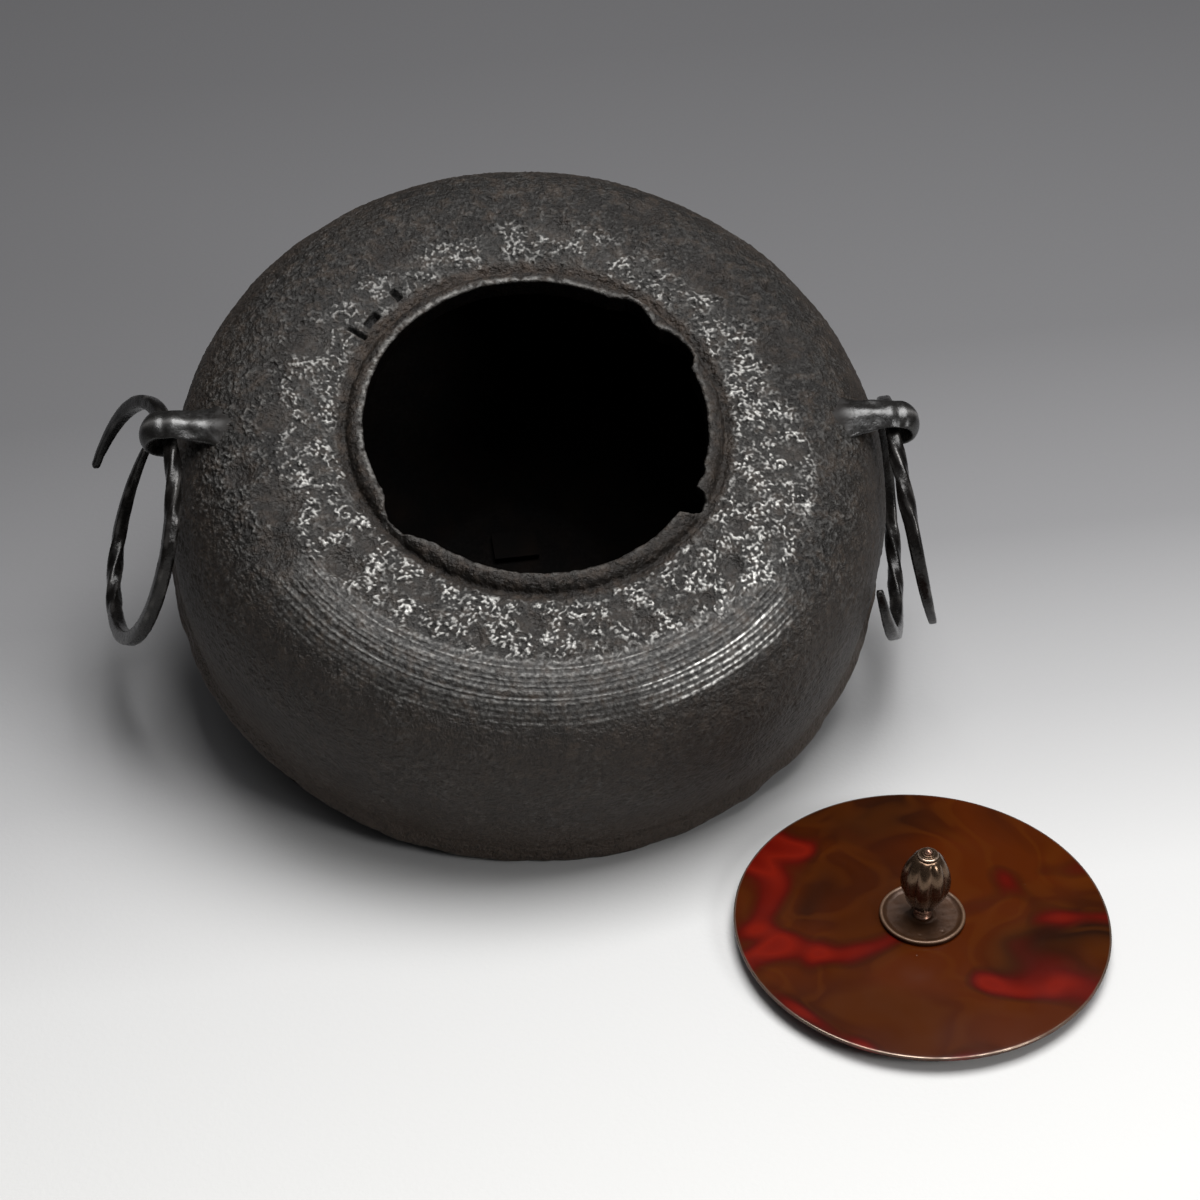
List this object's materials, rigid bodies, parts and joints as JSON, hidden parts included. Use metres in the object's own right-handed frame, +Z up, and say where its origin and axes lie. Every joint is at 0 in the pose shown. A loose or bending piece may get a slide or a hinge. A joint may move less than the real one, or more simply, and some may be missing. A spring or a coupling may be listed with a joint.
{
  "type": "tea kettle",
  "caption": "Squat round cast-iron tea kettle with a wide chipped mouth, loose open lifting rings in side lugs, and a flat bronze lid with a bud knob laid beside it.",
  "frame": {"origin": "on the floor, under the middle of the group's box", "axes": "+Z up from the floor; the kettle leans towards -Y, where the lid lies; its lugs are near +X and -X"},
  "size_m": [0.3248, 0.3574, 0.1637],
  "materials": {
    "old_cast_iron": "rough pitted brown-black iron, worn bright on the high points round the mouth",
    "bottom_iron": "smooth sooty iron",
    "lug_iron": "cast iron worn grey on its ridges",
    "forged_iron": "forged wrought iron, satin",
    "seam_lacquer": "baked dark lacquer",
    "lid_bronze": "polished bronze with a mottled red and brown heat patina",
    "flange_bronze": "brown bronze",
    "knob_bronze": "dark polished bronze",
    "knob_copper": "coppery bronze, worn bright"
  },
  "bodies": {
    "kettle": {"kettle_body": "old_cast_iron", "kettle_bottom": "bottom_iron", "seam_lacquer": "seam_lacquer", "left_lug": "lug_iron", "right_lug": "lug_iron", "lacquer_bed_1": "seam_lacquer", "lacquer_bed_2": "seam_lacquer", "lacquer_bed_3": "seam_lacquer", "sounding_iron_1": "bottom_iron", "sounding_iron_2": "bottom_iron", "sounding_iron_3": "bottom_iron"},
    "left_ring": {"left_ring": "forged_iron"},
    "right_ring": {"right_ring": "forged_iron"},
    "lid": {"lid_plate": "lid_bronze", "lid_flange": "flange_bronze", "knob_seat": "knob_bronze", "knob_neck": "knob_copper", "knob_bud": "knob_bronze", "knob_cap": "knob_bronze", "knob_pin": "knob_copper", "under_washer": "flange_bronze"}
  },
  "joints": [
    {"name": "left_ring_swing", "type": "hinge", "parent": "kettle", "child": "left_ring", "pos_m": [-0.13266, 0.04825, 0.12045], "axis": [-0.0419, 0.9846, 0.1695], "range_deg": [0, 120]},
    {"name": "right_ring_swing", "type": "hinge", "parent": "kettle", "child": "right_ring", "pos_m": [0.1189, 0.02523, 0.11041], "axis": [-0.1808, -0.9825, -0.0446], "range_deg": [0, 120]},
    {"name": "lid_lift", "type": "slide", "parent": "kettle", "child": "lid", "axis": [0, 0, 1], "range_m": [0, 0.2]}
  ]
}
